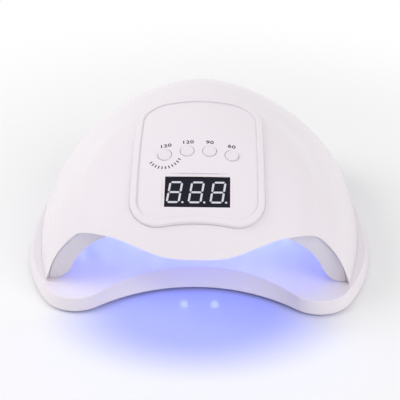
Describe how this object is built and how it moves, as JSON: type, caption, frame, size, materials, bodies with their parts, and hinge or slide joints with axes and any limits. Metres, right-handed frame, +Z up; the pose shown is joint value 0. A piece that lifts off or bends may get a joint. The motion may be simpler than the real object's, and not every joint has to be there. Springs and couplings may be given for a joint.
{
  "type": "led nail lamp",
  "caption": "Domed table lamp with visor for curing gel nail polish, with a display and sprung buttons on top, standing on a lift-off tray with a notched front.",
  "frame": {"origin": "on the table, under the middle of the whole lamp", "axes": "+X to the right seen from the front, -Y out of the open mouth, +Z up"},
  "size_m": [0.2236, 0.2012, 0.0927],
  "materials": {
    "shell_white": "gloss",
    "tray_white": "gloss",
    "cover_white": "matte",
    "hood_grey": "satin",
    "panel_white": "gloss",
    "button_white": "satin",
    "plunger_black": "matte",
    "switch_metal": "satin",
    "board_green": "satin",
    "board_white": "satin",
    "display_black": "gloss",
    "segment_white": "matte",
    "rubber_grey": "matte",
    "screw_steel": "satin",
    "magnet_nickel": "satin",
    "lens_clear": "clear",
    "emitter_yellow": "matte",
    "sensor_dark": "gloss",
    "parts_dark": "matte",
    "socket_black": "matte",
    "pin_brass": "satin",
    "wire_red": "satin"
  },
  "bodies": {
    "tray": {"base_tray": "tray_white", "tray_cover": "cover_white", "tray_feet": "rubber_grey", "tray_screws": "screw_steel", "tray_magnets": "magnet_nickel"},
    "lamp": {"outer_shell": "shell_white", "inner_hood": "hood_grey", "housing_magnets": "magnet_nickel", "housing_screws": "screw_steel", "control_panel": "panel_white", "button_board": "board_green", "tact_switches": "switch_metal", "display_module": "display_black", "display_segments": "segment_white", "display_board": "board_green", "panel_board_screws": "screw_steel", "led_lenses": "lens_clear", "led_emitters": "emitter_yellow", "sensor_window": "sensor_dark", "sensor_board": "board_green", "main_board": "board_green", "main_board_parts": "parts_dark", "main_board_screws": "screw_steel", "power_socket": "socket_black", "socket_pin": "pin_brass", "power_lead": "wire_red", "led_strip_front": "board_white", "led_strip_middle": "board_white", "led_strip_rear": "board_white"},
    "button_1": {"button_cap_1": "button_white", "switch_plunger_1": "plunger_black"},
    "button_2": {"button_cap_2": "button_white", "switch_plunger_2": "plunger_black"},
    "button_3": {"button_cap_3": "button_white", "switch_plunger_3": "plunger_black"},
    "button_4": {"button_cap_4": "button_white", "switch_plunger_4": "plunger_black"}
  },
  "joints": [
    {"name": "lamp_lift", "type": "slide", "parent": "tray", "child": "lamp", "axis": [0, 0, 1], "range_m": [0, 0.05]},
    {"name": "button_1_press", "type": "slide", "parent": "lamp", "child": "button_1", "axis": [0, 0.3502, -0.9367], "range_m": [0, 0.0006], "stiffness_N_per_m": 900},
    {"name": "button_2_press", "type": "slide", "parent": "lamp", "child": "button_2", "axis": [0, 0.3502, -0.9367], "range_m": [0, 0.0006], "stiffness_N_per_m": 900},
    {"name": "button_3_press", "type": "slide", "parent": "lamp", "child": "button_3", "axis": [0, 0.3502, -0.9367], "range_m": [0, 0.0006], "stiffness_N_per_m": 900},
    {"name": "button_4_press", "type": "slide", "parent": "lamp", "child": "button_4", "axis": [0, 0.3502, -0.9367], "range_m": [0, 0.0006], "stiffness_N_per_m": 900}
  ]
}
